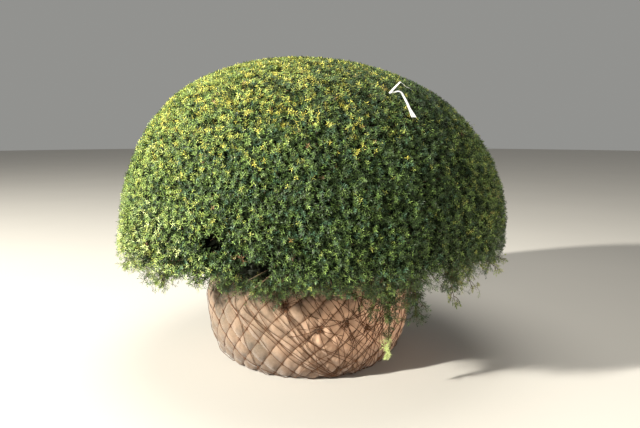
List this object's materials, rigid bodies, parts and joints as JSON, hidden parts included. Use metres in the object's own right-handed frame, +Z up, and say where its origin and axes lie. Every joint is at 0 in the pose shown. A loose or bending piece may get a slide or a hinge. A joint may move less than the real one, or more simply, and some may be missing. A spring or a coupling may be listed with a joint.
{
  "type": "root-balled clipped yew dome",
  "caption": "Large yew clipped to a dome, standing on a hessian-wrapped root ball laced in wire netting, with loose sprays hanging below its rim.",
  "frame": {"origin": "centre of the root ball's flat underside", "axes": "+Z up, +X to the right and +Y away, seen from the front"},
  "size_m": [2.3678, 2.3683, 1.8568],
  "materials": {
    "foliage": "satin",
    "bark": "rough",
    "hessian": "matte",
    "soil": "rough",
    "wire": "matte",
    "tag": "satin"
  },
  "bodies": {
    "root": {"root_ball_soil": "soil", "hessian_wrap": "hessian", "wire_net": "wire", "trunk": "bark", "bough_1": "bark", "bough_2": "bark", "bough_3": "bark", "bough_4": "bark", "bough_5": "bark", "bough_6": "bark", "bough_7": "bark", "bough_8": "bark", "low_bough_front_right": "bark", "low_bough_right_front": "bark", "low_bough_right_near": "bark", "low_bough_right_middle": "bark", "low_bough_right_far": "bark", "low_bough_left": "bark", "hanging_spray_front_right": "foliage", "hanging_spray_right_front": "foliage", "hanging_spray_right_near": "foliage", "hanging_spray_right_middle": "foliage", "hanging_spray_right_far": "foliage", "hanging_spray_left": "foliage", "crown_dome": "foliage", "plant_tag": "tag"}
  },
  "joints": []
}
